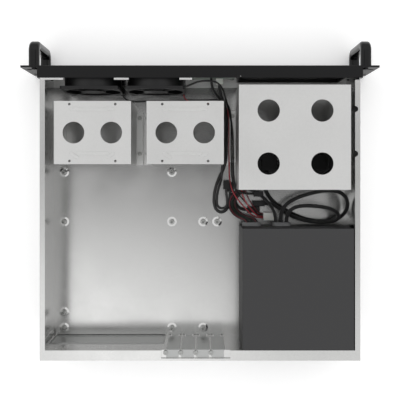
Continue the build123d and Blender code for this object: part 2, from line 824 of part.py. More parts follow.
def port_plate():
    """Thin steel plate that snaps into the port opening, with shallow knock-outs on its outer face."""
    gap, thick = 1.5 * seat_gap, port_plate_thickness
    left = port_plate_right_x + port_plate_width - gap
    x = (port_plate_right_x + gap, left)
    z = (port_plate_low + gap, port_plate_low + port_plate_height - gap)
    front, back = back_inner_y - port_plate_lip, back_outer_y - 2 * seat_gap
    inside = ((x[0] + thick, x[1] - thick), (z[0] + thick, z[1] - thick))
    plate = block(x, (front, back), z) - block(inside[0], (front, back - thick), inside[1])
    rim_y = (back_inner_y - thick, back_inner_y)
    rim_x = (x[0] - port_plate_rim, x[1] + port_plate_rim)
    rim_z_span = (z[0] - port_plate_rim, z[1] + port_plate_rim)
    plate += block(rim_x, rim_y, rim_z_span) - block(inside[0], rim_y, inside[1])
    pocket = (back - knock_out_depth, back)
    for height in (12, 27):
        plate -= bar_y(left - 12, z[0] + height, 6.2, pocket)
    for start, width, bottom, height in knock_outs:
        across = (left - start - width, left - start)
        plate -= block(across, pocket, (z[0] + bottom, z[0] + bottom + height))
    for i in range(3):
        for j in range(2):
            plate -= bar_y(left - 128 - 12 * i, z[0] + 11 + 14 * j, 4.2, pocket)
    return plate


def slot_cover(centre_x):
    """Blank for one card slot: a plate inside the wall, a tab over the ledge and a tongue below."""
    half = slot_cover_width / 2
    back, top = back_inner_y, ledge_z + slot_cover_thickness
    plane = (back - slot_cover_thickness, back)
    cover = block((centre_x - half, centre_x + half), plane, (slot_cover_low, top))
    cover += block((centre_x - 5, centre_x + 5), plane, (sheet + seat_gap, slot_cover_low))
    tab_y = (back - slot_cover_thickness, back + ledge_reach - 0.5)
    cover += block((centre_x - 7.5, centre_x + half), tab_y, (ledge_z, top))
    bend = cover.edges().filter_by(Axis.X).filter_by(
        lambda e: abs(e.center().Z - top) < 0.01 and abs(e.center().Y - plane[0]) < 0.01
    )
    cover = fillet(bend, slot_cover_thickness * 0.8)
    notch = (centre_x + slot_screw_shift, back + screw_line)
    return cover - bar_z(*notch, 2.0, (ledge_z - 1, top + 1))


def slot_screws():
    pieces = []
    for x in slot_centres_x:
        piece = screw(3.1, 1.9, foot_screw_radius, slot_cover_thickness + 3 * sheet)
        place = Pos(x + slot_screw_shift, back_inner_y + screw_line, ledge_z + slot_cover_thickness)
        pieces.append(place * piece)
    return group(pieces)


def supply_screw_places():
    """The four screws of a standard power supply, from its lower corner on the right."""
    offsets = ((6, 79.7), (144, 79.7), (6, 16), (120, 6))
    return [(supply_right_x - x, supply_low + z) for x, z in offsets]


def supply_housing():
    """Bottom, front and back of the power supply, folded from one sheet."""
    t = supply_sheet
    x = (supply_left_x + t, supply_right_x - t)
    y = (supply_front_y, supply_back_y)
    high = supply_top - t
    housing = block(x, y, (supply_low, high))
    housing -= block((x[0] - 1, x[1] + 1), (y[0] + t, y[1] - t), (supply_low + t, high + 1))
    back = (y[1] - t, y[1])
    housing -= bar_y(supply_fan_x, supply_fan_z, fan_duct_radius, back)
    for hx, hz in fan_corners(supply_fan_x, supply_fan_z):
        housing -= bar_y(hx, hz, fan_screw_radius + hole_gap, back)
    for sx, sz in supply_screw_places():
        housing -= bar_y(sx, sz, supply_screw_radius + hole_gap, back)
    half_x, half_z = inlet_width / 2 + hole_gap, inlet_height / 2 + hole_gap
    housing -= block((inlet_x - half_x, inlet_x + half_x), back, (inlet_z - half_z, inlet_z + half_z))
    half_x, half_z = rocker_width / 2 + hole_gap, rocker_height / 2 + hole_gap
    housing -= block((inlet_x - half_x, inlet_x + half_x), back, (rocker_z - half_z, rocker_z + half_z))
    front = (y[0], y[0] + t)
    half_x, half_z = grommet_length / 2 - 3 + hole_gap, grommet_height / 2 - 3 + hole_gap
    for x in grommet_places_x:
        housing -= block((x - half_x, x + half_x), front, (grommet_z - half_z, grommet_z + half_z))
    for i in range(supply_vent_count):
        z = supply_vent_low + supply_vent_pitch * i
        housing -= slot_y(supply_vent_x, z, supply_vent_length, supply_vent_width, front)
    return housing


def supply_cover():
    """Top and sides of the power supply, folded from one sheet."""
    t = supply_sheet
    x = (supply_left_x, supply_right_x)
    y = (supply_front_y, supply_back_y)
    cover = block(x, y, (supply_low, supply_top))
    cover = fillet(cover.edges().filter_by(Axis.Y).group_by(Axis.Z)[-1], t * 0.9)
    return cover - block((x[0] + t, x[1] - t), y, (supply_low, supply_top - t))


def supply_fan_place():
    return Pos(supply_fan_x, supply_back_y - supply_sheet - fan_depth, supply_fan_z)


def supply_fan_grille():
    """Wire guard: rings on crossing wires, with an eyelet at each fan screw."""
    wire = 0.9
    y = supply_back_y
    grille = None
    for radius in (13.0, 21.0, 29.0, 37.0):
        ring = Pos(supply_fan_x, y + wire, supply_fan_z) * Rot(90, 0, 0) * Torus(radius, wire)
        grille = ring if grille is None else grille + ring
    arm = fan_hole_spacing / 2 * 2**0.5
    for turn in (45, 135, 225, 315):
        bar = bar_x(0, 0, wire * 0.9, (12, arm - 3.7))
        grille += Pos(supply_fan_x, y + 1.2 * wire, supply_fan_z) * Rot(0, turn, 0) * bar
    for x, z in fan_corners(supply_fan_x, supply_fan_z):
        depth = (y, y + eyelet_thickness)
        grille += bar_y(x, z, 4.0, depth) - bar_y(x, z, fan_hole_radius + hole_gap, depth)
    return grille


def supply_screws():
    pieces = []
    for x, z in supply_screw_places():
        piece = screw(3.4, 2.2, supply_screw_radius, 2 * sheet + 3)
        pieces.append(Pos(x, back_outer_y, z) * Rot(-90, 0, 0) * piece)
    return group(pieces)


def mains_inlet():
    """Three-pole inlet: a flange outside, a deep socket with two cut corners inside."""
    y = supply_back_y
    half_x, half_z = inlet_width / 2, inlet_height / 2
    body = block((-half_x, half_x), (y - 21, y), (-half_z, half_z))
    flange = block((-half_x - 2, half_x + 2), (y, y + 1.6), (-half_z - 2, half_z + 2))
    body += fillet(flange.edges().filter_by(Axis.Y), 2.5)
    socket = block((-12, 12), (y - 15, y + 2), (-8.2, 8.2))
    corners = socket.edges().filter_by(Axis.Y).group_by(Axis.Z)[-1]
    body -= chamfer(corners, 4.5)
    for x, z in inlet_pin_places():
        body -= block((x - 1, x + 1), (y - 20, y - 14), (z - 2.1, z + 2.1))
    return Pos(inlet_x, 0, inlet_z) * body


def inlet_pin_places():
    return ((-7, -1.5), (0, 2.5), (7, -1.5))


def inlet_pins():
    y = supply_back_y
    return group([
        Pos(inlet_x, 0, inlet_z) * block((x - 1, x + 1), (y - 20, y - 3), (z - 2, z + 2))
        for x, z in inlet_pin_places()
    ])


def switch_frame():
    """Frame of the rocker switch, open at the back of the power supply, with two pivot holes."""
    y = supply_back_y
    half_x, half_z = rocker_width / 2, rocker_height / 2
    frame = block((-half_x, half_x), (y - 12, y), (-half_z, half_z))
    flange = block((-half_x - 1.2, half_x + 1.2), (y, y + 1.6), (-half_z - 1.2, half_z + 1.2))
    frame += fillet(flange.edges().filter_by(Axis.Y), 1.0)
    frame -= block((1 - half_x, half_x - 1), (y - 11, y + 2), (1 - half_z, half_z - 1))
    pin = rocker_pin_radius + fan_running_gap
    frame -= bar_x(y - rocker_pivot_depth, 0, pin, (-half_x - 1, half_x + 1))
    return Pos(inlet_x, 0, rocker_z) * frame


def rocker():
    """Rocker of the mains switch, shown in its off position on a cross pin."""
    half_x, half_z = rocker_width / 2 - 1.3, rocker_height / 2 - 1.9
    rise = rocker_pivot_depth + 1.2
    outline = Polyline(
        (-half_z, rise), (0, rise - 1.2), (half_z, rise), (half_z * 0.7, -3), (-half_z * 0.7, -3), close=True
    )
    face = Plane(origin=(-half_x, 0, 0), x_dir=(0, 0, 1), z_dir=(-1, 0, 0)) * make_face(outline)
    body = extrude(face, 2 * half_x, dir=(1, 0, 0))
    body += bar_x(0, 0, rocker_pin_radius, (-rocker_width / 2, rocker_width / 2))
    place = Pos(inlet_x, supply_back_y - rocker_pivot_depth, rocker_z)
    return place * Rot(-rocker_swing / 2, 0, 0) * body


def lead_grommets():
    """Oval bushes at the front of the power supply, where its leads come out."""
    bushes = []
    for x in grommet_places_x:
        front = (supply_front_y - grommet_proud, supply_front_y)
        bush = slot_y(x, grommet_z, grommet_length, grommet_height, front)
        half_x, half_z = grommet_length / 2 - 3, grommet_height / 2 - 3
        inner = (supply_front_y, supply_front_y + 2.5)
        bush += block((x - half_x, x + half_x), inner, (grommet_z - half_z, grommet_z + half_z))
        bushes.append(bush)
    return group(bushes)


def lead_plug(start, heading, length, width, height, cells):
    """A plug body that a cord enters at start. It is heading along X or Y, with sunk contact holes."""
    body = block((0, length), (-width / 2, width / 2), (-height / 2, height / 2))
    body = fillet(body.edges().filter_by(Axis.X), 0.8)
    body += block((2, length * 0.7), (-width * 0.2, width * 0.2), (height / 2, height / 2 + 1))
    columns, rows = cells
    cell = min(width / columns, height / rows) * 0.55
    for i in range(columns):
        for j in range(rows):
            y = (i - (columns - 1) / 2) * width / columns
            z = (j - (rows - 1) / 2) * height / rows
            body -= block((length - 4, length), (y - cell / 2, y + cell / 2), (z - cell / 2, z + cell / 2))
    return Pos(*start) * Rot(0, 0, heading) * body


def cord(name, points, diameter):
    """A tube along straight runs joined by arcs, each as large as its two runs allow."""
    radii = []
    for before, here, after in zip(points, points[1:], points[2:]):
        first, second = Vector(*here) - Vector(*before), Vector(*after) - Vector(*here)
        turn = radians(first.get_angle(second))
        radii.append(0.45 * min(first.length, second.length) / tan(turn / 2))
    route = FilletPolyline(*points, radius=radii)
    section = Plane(origin=route @ 0, z_dir=route % 0) * Circle(diameter / 2)
    tube = sweep(section, path=route)
    share = tube.volume / (section.area * route.length)
    least = min(radii) / diameter
    print(f"{name}: {route.length:.0f} mm long, tightest bend {least:.1f} diameters, volume {share:.4f}")
    print("  radii", " ".join(f"{radius:.0f}" for radius in radii))
    return tube


# Routes of the cords, from the end that leaves the case's own pieces to the plug
front_port_route = [
    (-28.0, -163.0, 24.0), (-28.0, -156.0, 24.0), (-30.5, -146.5, 19.6), (-35.4, -136.4, 13.4),
    (-38.2, -122.0, 8.0), (-38.8, -103.0, 6.5), (-38.4, -78.0, 6.5), (-38.2, -56.0, 6.5),
    (-34.4, -42.0, 4.6), (-27.4, -29.0, 3.3), (-22.6, -15.0, 3.3), (-20.2, -1.0, 3.3),
    (-20.6, 10.0, 3.3), (-24.4, 18.6, 3.3), (-32.0, 21.6, 3.3), (-39.4, 17.0, 3.3),
    (-42.4, 8.0, 3.5), (-44.2, -1.0, 3.9), (-44.2, -9.0, 3.9),
]
red_lead_route = [
    (23.4, -149.6, 13.5), (23.4, -145.6, 13.5), (17.0, -140.0, 11.0), (3.0, -138.2, 7.4),
    (-13.0, -139.4, 4.4), (-28.0, -140.2, 3.2), (-38.4, -134.0, 3.1), (-42.0, -120.0, 3.1),
    (-42.5, -98.0, 3.1), (-42.1, -73.0, 3.1), (-42.6, -48.0, 3.8), (-43.0, -26.0, 8.0),
    (-46.8, -9.0, 12.4), (-56.4, 4.4, 13.8), (-67.0, 16.2, 13.8), (-76.0, 25.8, 11.6),
    (-85.6, 28.9, 6.6), (-92.0, 28.9, 6.6),
]
black_lead_route = [
    (111.3, -149.6, 13.5), (111.3, -145.4, 13.5), (104.0, -141.0, 10.4), (88.0, -140.6, 5.6),
    (66.0, -142.2, 3.0), (40.0, -141.4, 2.4), (14.0, -143.4, 2.4), (-10.0, -143.0, 2.6),
    (-28.0, -144.4, 2.8), (-40.4, -138.6, 3.4), (-45.2, -125.0, 4.9), (-45.6, -106.0, 5.0),
    (-45.2, -81.0, 5.0), (-45.6, -56.0, 5.0), (-45.8, -33.0, 6.8), (-49.6, -14.0, 11.2),
    (-59.6, -0.4, 13.4), (-70.8, 11.2, 13.4), (-79.0, 20.4, 12.0), (-86.0, 24.7, 6.6),
    (-92.0, 24.7, 6.6),
]
main_loom_route = [
    (-115.0, 33.7, 30.0), (-115.0, 26.0, 30.0), (-117.0, 15.0, 28.6), (-125.4, 5.4, 28.6),
    (-140.0, -2.2, 30.0), (-158.0, -8.0, 32.0), (-176.0, -11.6, 34.6), (-194.0, -11.4, 37.0),
    (-206.2, -3.6, 37.0), (-210.6, 10.4, 32.0), (-205.8, 24.2, 22.0), (-192.6, 32.6, 13.0),
    (-175.6, 34.2, 8.0), (-158.0, 32.0, 5.4), (-140.6, 26.0, 4.5), (-124.0, 17.0, 4.4),
    (-108.5, 7.4, 4.4), (-98.0, -5.2, 5.0), (-94.0, -20.0, 6.0), (-94.0, -33.0, 6.0),
]
side_loom_route = [
    (-123.0, 33.7, 30.0), (-123.0, 26.5, 30.0), (-126.4, 17.5, 32.0), (-135.0, 11.4, 36.0),
    (-149.0, 9.4, 40.5), (-167.0, 10.4, 43.5), (-184.0, 13.6, 43.5), (-195.0, 20.6, 38.6),
    (-197.4, 28.4, 29.6), (-189.6, 33.6, 22.6), (-175.0, 34.8, 19.6), (-158.0, 33.2, 18.0),
    (-141.6, 29.6, 14.6), (-128.6, 24.0, 12.8), (-117.4, 16.6, 12.2), (-108.6, 10.6, 10.8),
    (-101.4, 8.0, 6.0), (-94.0, 8.0, 6.0),
]
drive_loom_route = [
    (-107.5, 33.7, 30.0), (-107.5, 26.0, 30.0), (-104.0, 14.0, 25.6), (-95.6, 2.4, 17.6),
    (-84.4, -7.6, 9.4), (-73.0, -13.4, 4.6), (-61.5, -14.0, 3.5), (-53.4, -8.1, 3.4),
    (-50.6, 1.5, 3.4), (-53.4, 11.1, 3.8), (-61.5, 17.0, 4.6), (-69.0, 17.0, 4.6),
]


def cables():
    """Every cord with its plug. The plugs lie on the floor or on the cords below them."""
    return {
        "front_port_lead": cord("front_port_lead", front_port_route, 4.4),
        "fan_lead_red": cord("fan_lead_red", red_lead_route, 1.8),
        "fan_lead_black": cord("fan_lead_black", black_lead_route, 1.8),
        "main_power_loom": cord("main_power_loom", main_loom_route, 5.6),
        "side_loom": cord("side_loom", side_loom_route, 5.4),
        "drive_power_loom": cord("drive_power_loom", drive_loom_route, 4.6),
        "front_port_plug": lead_plug(front_port_route[-1], -90, 14.0, 10.0, 5.4, (4, 2)),
        "fan_lead_plug": lead_plug((-92.0, 26.8, 6.6), 180, 15.0, 11.6, 8.0, (4, 1)),
        "main_power_plug": lead_plug(main_loom_route[-1], -90, 16.0, 51.6, 9.6, (12, 2)),
        "side_loom_plug": lead_plug(side_loom_route[-1], 0, 18.0, 8.0, 5.6, (4, 1)),
        "drive_power_plug": lead_plug(drive_loom_route[-1], 180, 18.0, 9.0, 6.4, (4, 1)),
    }


def board_plug():
    """Plug on the back of the front board, where the port lead starts."""
    x, y, z = front_port_route[0]
    return block((x - 5, x + 5), (board_front_y() + board_thickness, y), (z - 4, z + 4))


def pieces():
    made = {
        "base_tray": base_tray(),
        "front_wall": front_wall(),
        "front_panel": front_panel(),
        "rack_ear_left": rack_ear(1),
        "rack_ear_right": rack_ear(-1),
        "ear_screws": ear_screws(),
        "handle_left": handle(1),
        "handle_right": handle(-1),
        "handle_screws": handle_screws(),
        "fan_screws": fan_screws(),
        "large_bay_cage": large_bay(),
        "foot_screws": foot_screws(),
        "bay_cover_lower": bay_cover(0),
        "bay_cover_upper": bay_cover(1),
        "power_button": push_button(power_button_x, power_button_radius),
        "reset_button": push_button(reset_button_x, reset_button_radius),
        "button_switches": button_switches(),
        "front_board": front_board(),
        "board_spacers": board_spacers(),
        "board_screws": board_screws(),
        "board_plug": board_plug(),
        "indicator_lamps": indicator_lamps(),
        "port_shells": port_shells(),
        "port_tongues": port_tongues(),
        "standoffs": standoffs(),
        "rear_wall": rear_wall(),
        "port_plate": port_plate(),
        "slot_screws": slot_screws(),
        "supply_housing": supply_housing(),
        "supply_cover": supply_cover(),
        "supply_fan_frame": supply_fan_place() * fan_frame(),
        "supply_fan_rotor": supply_fan_place() * fan_rotor(),
        "supply_fan_grille": supply_fan_grille(),
        "supply_screws": supply_screws(),
        "mains_inlet": mains_inlet(),
        "inlet_pins": inlet_pins(),
        "switch_frame": switch_frame(),
        "rocker": rocker(),
        "lead_grommets": lead_grommets(),
    }
    for name, x in zip(("left", "middle"), fan_centres_x):
        place = Pos(x, wall_back_y, fan_centre_z)
        made[f"fan_frame_{name}"] = place * fan_frame()
        made[f"fan_rotor_{name}"] = place * fan_rotor()
    for name, x in zip(("left", "middle"), cage_centres_x):
        made[f"drive_cage_{name}"] = drive_cage(x)
    for i, x in enumerate(slot_centres_x):
        made[f"slot_cover_{i + 1}"] = slot_cover(x)
    made.update(cables())
    return made


os.makedirs("parts", exist_ok=True)
for name, piece in pieces().items():
    export_step(piece, f"parts/{name}.step")
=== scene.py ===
# %% [markdown]
# # An open rackmount case
#
# The object is a short 19-inch computer case with its top off: a galvanised tray, a black
# front with two pull handles, two fans, three drive cages, a grey power supply and its leads.
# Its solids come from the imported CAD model, which is loaded here as a fixed frame. This file
# gives them their finishes and adds the small, soft things: sleeves, leads and thin wires.

from math import pi, radians

import bpy
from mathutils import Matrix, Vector


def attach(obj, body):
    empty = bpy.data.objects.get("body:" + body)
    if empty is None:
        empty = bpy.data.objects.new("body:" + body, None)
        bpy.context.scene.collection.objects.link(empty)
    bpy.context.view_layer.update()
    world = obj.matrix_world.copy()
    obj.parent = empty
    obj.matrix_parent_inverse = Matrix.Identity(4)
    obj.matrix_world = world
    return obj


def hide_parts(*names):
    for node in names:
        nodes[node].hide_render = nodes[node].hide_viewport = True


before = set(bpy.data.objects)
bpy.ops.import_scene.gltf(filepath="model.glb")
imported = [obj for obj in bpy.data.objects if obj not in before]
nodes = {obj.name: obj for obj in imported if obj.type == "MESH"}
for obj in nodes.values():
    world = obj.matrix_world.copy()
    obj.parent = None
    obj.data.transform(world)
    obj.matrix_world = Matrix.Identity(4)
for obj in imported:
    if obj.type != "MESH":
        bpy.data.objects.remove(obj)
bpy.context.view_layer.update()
MM = 0.001

# %% [markdown]
# Colours are easiest to read as the hex values of a paint chart, which are sRGB. Shaders work
# with linear light, so one function turns the first into the second. Materials are node trees,
# and a tree could be typed out node by node. One small function that adds a node with its
# settings, values and links keeps each material short enough to read at once.

# %% Colours and nodes


def hex_colour(code):
    """Linear RGBA from an sRGB hex code such as 3f3f3f, with the constants of the sRGB curve."""
    parts = [int(code[i:i + 2], 16) / 255 for i in (0, 2, 4)]
    linear = [p / 12.92 if p <= 0.04045 else ((p + 0.055) / 1.055) ** 2.4 for p in parts]
    return (*linear, 1.0)


def add_node(tree, kind, settings=None, values=None, links=None):
    """A node of that kind, with its settings, its socket values and what feeds its sockets."""
    node = tree.nodes.new("ShaderNode" + kind)
    for name, value in (settings or {}).items():
        setattr(node, name, value)
    for socket, value in (values or {}).items():
        node.inputs[socket].default_value = value
    for socket, source in (links or {}).items():
        tree.links.new(source, node.inputs[socket])
    return node


def new_material(name, colour, metallic, roughness, **values):
    """A material with a principled shader. Returns it with its tree and shader, to build on."""
    material = bpy.data.materials.new(name)
    material.use_nodes = True
    shader = material.node_tree.nodes["Principled BSDF"]
    shader.inputs["Base Color"].default_value = hex_colour(colour)
    shader.inputs["Metallic"].default_value = metallic
    shader.inputs["Roughness"].default_value = roughness
    for socket, value in values.items():
        shader.inputs[socket.replace("_", " ")].default_value = value
    return material, material.node_tree, shader


def plain_metal(name, colour, metallic, roughness):
    return new_material(name, colour, metallic, roughness)[0]


def plain_plastic(name, colour, roughness, **values):
    return new_material(name, colour, 0.0, roughness, **values)[0]


def place_in(tree):
    """The surface point in metres, which rides along when its body moves."""
    return add_node(tree, "TexCoord").outputs["Object"]


print("the grey 808080 is", round(hex_colour("808080")[0], 3), "in linear light")

# %% [markdown]
# Galvanised steel is sheet dipped in molten zinc. The zinc freezes into crystals, called
# spangle, which catch the light at slightly different angles. On case sheet they are kept
# small, about 2 mm, and the sheet is rolled once more, which leaves a satin grey. A photo
# texture could show that. A Voronoi pattern needs no picture: each cell is one crystal with
# its own small change of shade, and slow clouds of noise change the gloss, as rolling does.
# The cages and the front wall are a duller sheet, with the same crystals and more roughness.

# %% Zinc-coated sheet
SPANGLE = 2.2 * MM
CLOUD = 60 * MM
NOISE_LOW, NOISE_HIGH = 0.3, 0.7  # most values of a noise lie between these


def zinc_sheet(name, dark, light, smooth, rough):
    """Satin zinc: each crystal has its own shade, and slow clouds change the roughness."""
    material, tree, shader = new_material(name, light, 1.0, rough)
    point = place_in(tree)
    crystals = add_node(
        tree, "TexVoronoi", values={"Scale": 1 / SPANGLE}, links={"Vector": point}
    )
    clouds = add_node(
        tree, "TexNoise", values={"Scale": 1 / CLOUD, "Detail": 3.0}, links={"Vector": point}
    )
    shade = add_node(
        tree, "MixRGB", values={"Color1": hex_colour(dark), "Color2": hex_colour(light)},
        links={"Fac": crystals.outputs["Color"]},
    )
    satin = add_node(
        tree, "MapRange", values={
            "From Min": NOISE_LOW, "From Max": NOISE_HIGH, "To Min": smooth, "To Max": rough,
        },
        links={"Value": clouds.outputs["Fac"]},
    )
    tree.links.new(shade.outputs["Color"], shader.inputs["Base Color"])
    tree.links.new(satin.outputs["Result"], shader.inputs["Roughness"])
    return material


galvanised = zinc_sheet("galvanised sheet steel", "c6c6c5", "c9c9c8", 0.18, 0.24)
cage_steel = zinc_sheet("zinc-plated cage steel", "d0d0cf", "d3d3d2", 0.40, 0.46)
print("zinc crystals are", SPANGLE / MM, "mm wide")

# %% [markdown]
# Small steel parts are plated after they are cut or turned, so they have no spangle. They
# could have scratches or a grain, but they are too small here for either to show, so the
# plain shader is enough. Nickel is the smoothest. Zinc plate is duller on screws, and duller
# still on the slot covers and the port plate. Blackened screws are steel under a thin dark
# oxide: still a metal, only a dark one.

# %% Plated and blackened metals
plated_steel = plain_metal("bright nickel-plated steel", "c9cbcb", 1.0, 0.26)
slot_steel = plain_metal("zinc-plated slot cover steel", "b2b3b2", 1.0, 0.40)
zinc_screw = plain_metal("zinc-plated screw steel", "a9aaa8", 1.0, 0.30)
black_screw = plain_metal("blackened screw steel", "2a2a2b", 0.8, 0.42)
pin_brass = plain_metal("nickel-plated brass pins", "c9c2b0", 1.0, 0.22)
print("5 plain metals")

# %% [markdown]
# The front panel, ears, handles and power supply are powder coated. The powder melts into a
# film with a fine orange-peel skin, which turns a sharp highlight into a soft one. Displaced
# geometry could show it. A bump from fine noise does the same with no geometry. The real
# grain is about 0.4 mm. It is drawn at 0.8 mm, because a finer one would vanish between the
# render's pixels. The panel is satin, the handles are gloss, and the supply is matt grey. The
# two blacks get a low specular level, so that they stay as deep as in the photograph.

# %% Powder coats
PEEL = 0.8 * MM


def powder_coat(name, colour, roughness, depth, shine=0.5):
    """A coat with orange peel that deep, and its specular level. Half is the usual level."""
    material, tree, shader = new_material(
        name, colour, 0.0, roughness, Specular_IOR_Level=shine
    )
    grain = add_node(
        tree, "TexNoise", values={"Scale": 1 / PEEL, "Detail": 2.0},
        links={"Vector": place_in(tree)},
    )
    peel = add_node(
        tree, "Bump", values={"Strength": 0.5, "Distance": depth},
        links={"Height": grain.outputs["Fac"]},
    )
    tree.links.new(peel.outputs["Normal"], shader.inputs["Normal"])
    return material


black_coat = powder_coat("black powder-coated steel", "0e0e0f", 0.40, 0.05 * MM, 0.22)
handle_coat = powder_coat(
    "gloss black powder-coated handle steel", "050506", 0.16, 0.03 * MM, 0.28
)
grey_coat = powder_coat("dark grey powder-coated supply steel", "2e2e2f", 0.62, 0.04 * MM)
print("orange peel drawn at", PEEL / MM, "mm")

# %% [markdown]
# Fans, bay covers and sockets are moulded plastic. The mould is spark-eroded, so the skin is
# matt, and the colour goes right through. Connectors are nylon, which is a little translucent
# when it is white. The lens is clear acrylic over an unlit lamp. A grain could be added to
# each, but it is far below a pixel here, so roughness alone tells them apart.

# %% Plastics
black_pbt = plain_plastic("black moulded PBT plastic", "0d0d0e", 0.42, Specular_IOR_Level=0.35)
rotor_pbt = plain_plastic("black rotor PBT plastic", "121213", 0.36, Specular_IOR_Level=0.40)
key_abs = plain_plastic("black satin key plastic", "1f1f20", 0.34)
white_nylon = plain_plastic("white connector nylon", "f1efe9", 0.42, Subsurface_Weight=0.08)
black_nylon = plain_plastic("black connector nylon", "0c0c0d", 0.38, Specular_IOR_Level=0.35)
bush_grey = plain_plastic("grey bush nylon", "6f7071", 0.55)
lens_clear = plain_plastic("frosted lamp lens acrylic", "cfd6d2", 0.2, Transmission_Weight=0.4)
laminate = plain_plastic("green solder-masked laminate", "1f4a2e", 0.3)
print("8 plastics")

# %% [markdown]
# The leads have soft PVC sheaths, which are smooth but not shiny. The thick looms are bundles
# of such leads in a braided polyester sleeve. Its yarns are 0.25 mm and cross at about 45
# degrees. Yarns could be modelled one by one, at great cost. Here they are a bump, drawn
# 0.9 mm wide so that the weave shows. The pattern follows the tube: a curve's own UV runs
# along it and around it, so two crossed waves make the braid.

# %% Sheaths and braid
YARN = 0.9 * MM
YARN_DEPTH = 0.25 * MM


def braided_sleeve(name, colour, length, diameter):
    """A sleeve whose two waves lean to the left and to the right around the tube."""
    material, tree, shader = new_material(name, colour, 0.0, 0.62, Sheen_Weight=0.15)
    along, around = length / (2 * YARN), round(pi * diameter / (2 * YARN))
    uv = add_node(tree, "TexCoord").outputs["UV"]
    waves = []
    for lean in (1, -1):
        turned = add_node(
            tree, "VectorMath", {"operation": "DOT_PRODUCT"}, {1: (along, lean * around, 0.0)},
            {0: uv},
        )
        phase = add_node(
            tree, "Math", {"operation": "MULTIPLY"}, {1: 2 * pi}, {0: turned.outputs["Value"]}
        )
        wave = add_node(tree, "Math", {"operation": "SINE"}, links={0: phase.outputs[0]})
        waves.append(wave.outputs[0])
    yarns = add_node(
        tree, "Math", {"operation": "MAXIMUM"}, links={0: waves[0], 1: waves[1]}
    )
    braid = add_node(
        tree, "Bump", values={"Strength": 0.6, "Distance": YARN_DEPTH},
        links={"Height": yarns.outputs[0]},
    )
    tree.links.new(braid.outputs["Normal"], shader.inputs["Normal"])
    return material


pvc_black = plain_plastic("black PVC sheath", "09090a", 0.32)
pvc_red = plain_plastic("red PVC sheath", "9a2a33", 0.36)
pvc_wine = plain_plastic("dark red PVC sheath", "571620", 0.36)
pvc_green = plain_plastic("dark green PVC sheath", "12301f", 0.36)
SLEEVE_COLOUR = "0b0b0c"
print("yarns drawn", YARN / MM, "mm wide")

# %% [markdown]
# Each solid is made of one stuff throughout, so each CAD node gets one material. That could be
# a line per node. A loop over a table of materials and node names does it, and the table shows
# at a glance which piece is made of what.

# %% Finishes for the solids
finishes = [
    (galvanised, "base_tray rear_wall"),
    (cage_steel, "drive_cage_left drive_cage_middle large_bay_cage front_wall"),
    (black_coat, "front_panel rack_ear_left rack_ear_right"),
    (handle_coat, "handle_left handle_right"),
    (black_pbt, "fan_frame_left fan_frame_middle supply_fan_frame"),
    (black_pbt, "bay_cover_lower bay_cover_upper mains_inlet switch_frame button_switches"),
    (rotor_pbt, "fan_rotor_left fan_rotor_middle supply_fan_rotor"),
    (key_abs, "power_button reset_button rocker"),
    (zinc_screw, "foot_screws slot_screws supply_screws board_screws standoffs board_spacers"),
    (black_screw, "ear_screws handle_screws fan_screws"),
    (slot_steel, "port_plate slot_cover_1 slot_cover_2 slot_cover_3 slot_cover_4"),
    (plated_steel, "supply_fan_grille port_shells"),
    (pin_brass, "inlet_pins"),
    (grey_coat, "supply_housing supply_cover"),
    (laminate, "front_board"),
    (white_nylon, "fan_lead_plug board_plug port_tongues"),
    (black_nylon, "front_port_plug main_power_plug side_loom_plug drive_power_plug"),
    (bush_grey, "lead_grommets"),
    (lens_clear, "indicator_lamps"),
]


def finish_with(obj, material):
    obj.data.materials.clear()
    obj.data.materials.append(material)


for material, names in finishes:
    for name in names.split():
        finish_with(nodes[name], material)
print(sum(len(names.split()) for _, names in finishes), "nodes have their finish")

# %% [markdown]
# A lead is a round tube that never has a sharp bend. It could be a mesh swept by hand, but a
# curve with a round bevel is the same thing in one object, and its line can be changed later.
# A NURBS curve of order 3 stays inside the corners of its control points, as a stiff lead
# does. The control points are the ones that the CAD route has, in millimetres, after the
# lead's diameter.

